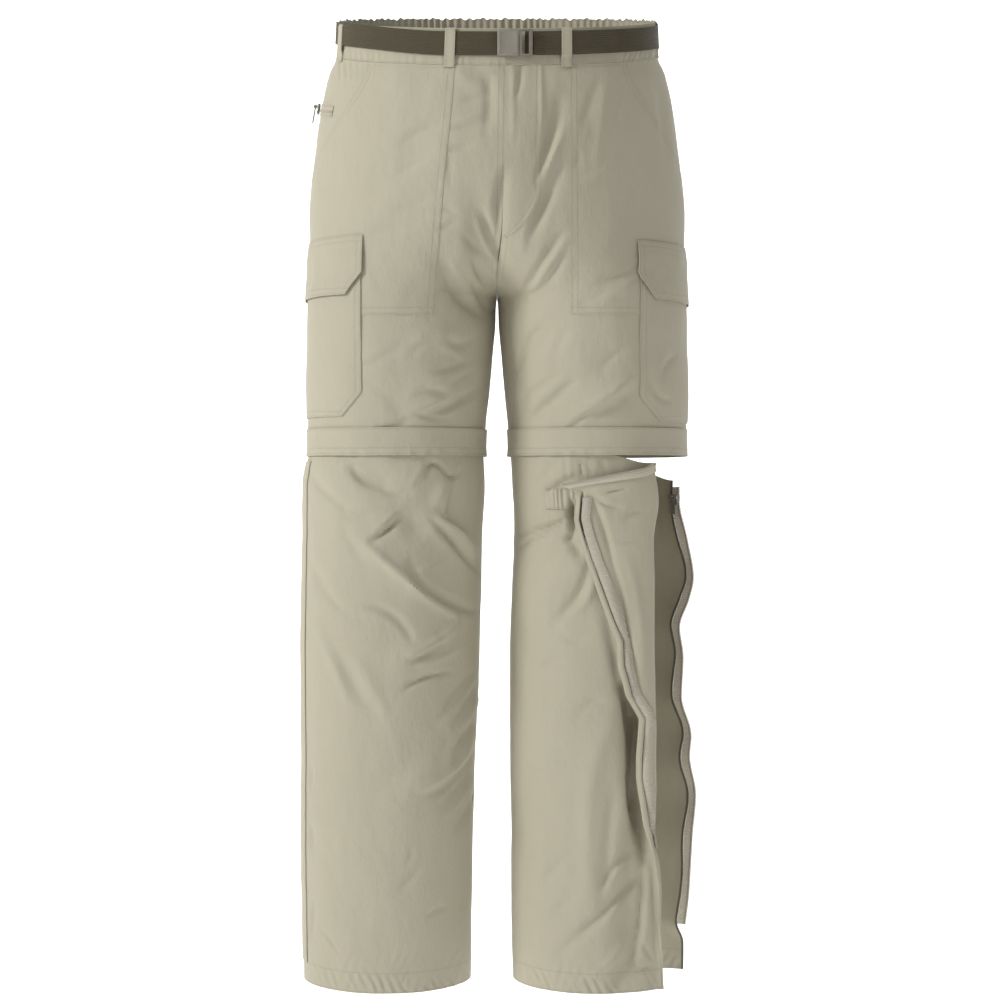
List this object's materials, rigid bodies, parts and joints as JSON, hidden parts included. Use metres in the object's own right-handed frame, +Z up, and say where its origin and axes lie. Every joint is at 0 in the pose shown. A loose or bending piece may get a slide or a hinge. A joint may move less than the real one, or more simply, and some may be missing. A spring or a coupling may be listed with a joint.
{
  "type": "convertible trousers",
  "caption": "Zip-off trousers with a webbing belt and cargo pockets, filled out as worn, one lower leg part unzipped and turned back.",
  "frame": {"origin": "centre of the waist, where the wearer's waist holds the trousers", "axes": "+Z up the body, -Y out of the front, +X to the wearer's left"},
  "size_m": [0.4475, 0.2816, 1.1001],
  "materials": {
    "cloth": "matt light stone-coloured nylon",
    "tape": "matt zip tape",
    "webbing": "matt ribbed dark brown webbing",
    "buckle_plastic": "satin",
    "zip_metal": "dark satin"
  },
  "bodies": {
    "trousers": {"back_left": "cloth", "back_right": "cloth", "belt": "webbing", "belt_loop_back_left": "cloth", "belt_loop_back_middle": "cloth", "belt_loop_back_right": "cloth", "belt_loop_front_left": "cloth", "belt_loop_front_right": "cloth", "belt_loop_side_left": "cloth", "belt_loop_side_right": "cloth", "belt_tail": "webbing", "buckle_plug": "buckle_plastic", "buckle_socket": "buckle_plastic", "cargo_flap_left": "cloth", "cargo_flap_right": "cloth", "cargo_pocket_left": "cloth", "cargo_pocket_right": "cloth", "fly": "cloth", "front_left": "cloth", "front_pocket_left": "cloth", "front_pocket_right": "cloth", "front_right": "cloth", "hip_zip_slider": "zip_metal", "hip_zip_tape": "tape", "knee_flap_left": "cloth", "knee_flap_right": "cloth", "knee_zip_left": "tape", "knee_zip_open_left": "tape", "knee_zip_right": "tape", "knee_zip_tab_left": "tape", "leg_back_left": "cloth", "leg_back_right": "cloth", "leg_front_left": "cloth", "leg_front_right": "cloth", "leg_zip_slider": "zip_metal", "side_placket_right": "cloth", "side_zip_back_left": "tape", "side_zip_front_left": "tape", "waistband_back": "cloth", "waistband_front_left": "cloth", "waistband_front_right": "cloth"},
    "hip_pull": {"hip_zip_pull": "zip_metal"},
    "leg_pull": {"leg_zip_pull": "zip_metal"}
  },
  "joints": [
    {"name": "hip_pull_hinge", "type": "hinge", "parent": "trousers", "child": "hip_pull", "pos_m": [-0.20392, 0.00953, -0.07874], "axis": [0, 1, 0], "range_deg": [0, 160]},
    {"name": "leg_pull_hinge", "type": "hinge", "parent": "trousers", "child": "leg_pull", "pos_m": [0.20024, 0.05079, -0.51809], "axis": [-0.906, 0.4233, 0], "range_deg": [0, 160]}
  ]
}
